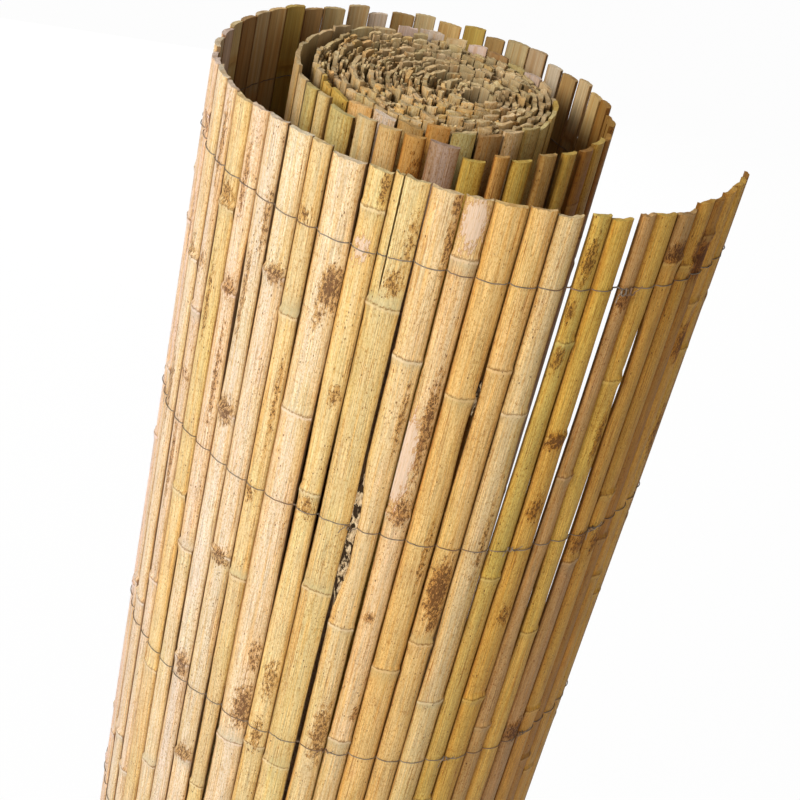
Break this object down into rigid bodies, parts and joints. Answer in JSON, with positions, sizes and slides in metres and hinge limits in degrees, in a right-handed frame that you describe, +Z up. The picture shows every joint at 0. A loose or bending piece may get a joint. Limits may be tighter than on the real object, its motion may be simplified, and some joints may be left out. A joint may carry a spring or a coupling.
{
  "type": "split reed screening",
  "caption": "Roll of split reed screening standing on end, its outer turn loose and its tail open, with rows of thin binding wire across the reeds.",
  "frame": {"origin": "middle of the roll's outline in plan, on the floor that it stands on", "axes": "+Z up along the reeds, -Y towards the open front, +X towards the free end of the tail"},
  "size_m": [0.2746, 0.2232, 1],
  "materials": {
    "reed": "dry split reed, straw yellow with brown specks and stains, satin skin",
    "wire": "dull galvanised wire"
  },
  "bodies": {
    "root": {"loose_reeds": "reed", "rolled_reeds": "reed", "binding_wire_1": "wire", "binding_wire_2": "wire", "binding_wire_3": "wire", "binding_wire_4": "wire", "binding_wire_5": "wire", "binding_wire_6": "wire", "binding_wire_7": "wire"}
  },
  "joints": []
}
